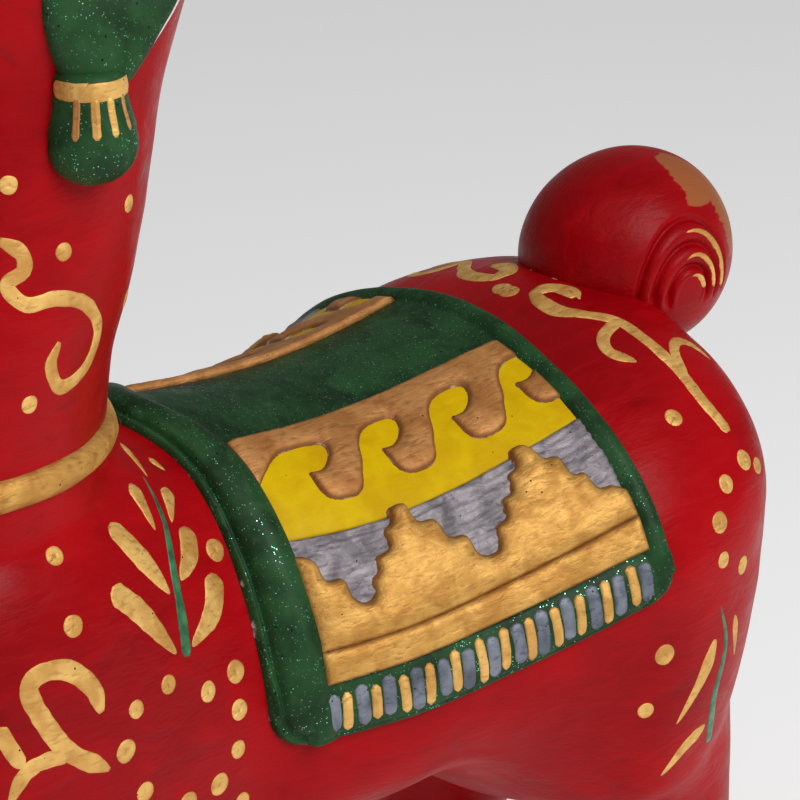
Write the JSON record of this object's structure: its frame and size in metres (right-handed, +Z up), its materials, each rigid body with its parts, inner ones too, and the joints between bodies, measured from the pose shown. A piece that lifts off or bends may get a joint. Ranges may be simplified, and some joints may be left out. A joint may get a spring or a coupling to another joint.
{
  "type": "painted llama figurine",
  "caption": "Standing painted wooden llama figurine with a cap, a collar, a curled tail and a relief saddle cloth, resting on felt pads.",
  "frame": {"origin": "on the ground under the middle of the figure's length and width", "axes": "+X towards the head, +Y the animal's left, +Z up"},
  "size_m": [0.1892, 0.1028, 0.2739],
  "materials": {
    "red_paint": "hand-brushed red paint on carved wood, satin",
    "green_glitter_paint": "dark green paint with fine glitter, satin",
    "gold_paint": "brushed metallic gold paint",
    "bronze_paint": "brushed metallic bronze paint",
    "yellow_paint": "flat yellow paint",
    "silver_paint": "brushed metallic silver-grey paint",
    "bare_wood": "bare turned wood",
    "felt": "pressed felt"
  },
  "bodies": {
    "root": {"torso": "red_paint", "neck": "red_paint", "head": "red_paint", "front_left_leg": "red_paint", "front_right_leg": "red_paint", "rear_left_leg": "red_paint", "rear_right_leg": "red_paint", "leg_dowels": "bare_wood", "neck_dowel": "bare_wood", "head_dowel": "bare_wood", "tail": "red_paint", "tail_dowel": "bare_wood", "ear_left": "red_paint", "ear_right": "red_paint", "cap_crown": "green_glitter_paint", "cap_band": "gold_paint", "pompom": "gold_paint", "earflap_left": "green_glitter_paint", "earflap_right": "green_glitter_paint", "tassel_left": "green_glitter_paint", "tassel_right": "green_glitter_paint", "collar": "gold_paint", "saddle_cloth": "green_glitter_paint", "yellow_ground_left": "yellow_paint", "yellow_ground_right": "yellow_paint", "silver_ground_left": "silver_paint", "silver_ground_right": "silver_paint", "wave_relief_left": "bronze_paint", "wave_relief_right": "bronze_paint", "mountain_relief_left": "gold_paint", "mountain_relief_right": "gold_paint", "hem_bar_left": "gold_paint", "hem_bar_right": "gold_paint", "felt_pads": "felt"}
  },
  "joints": []
}
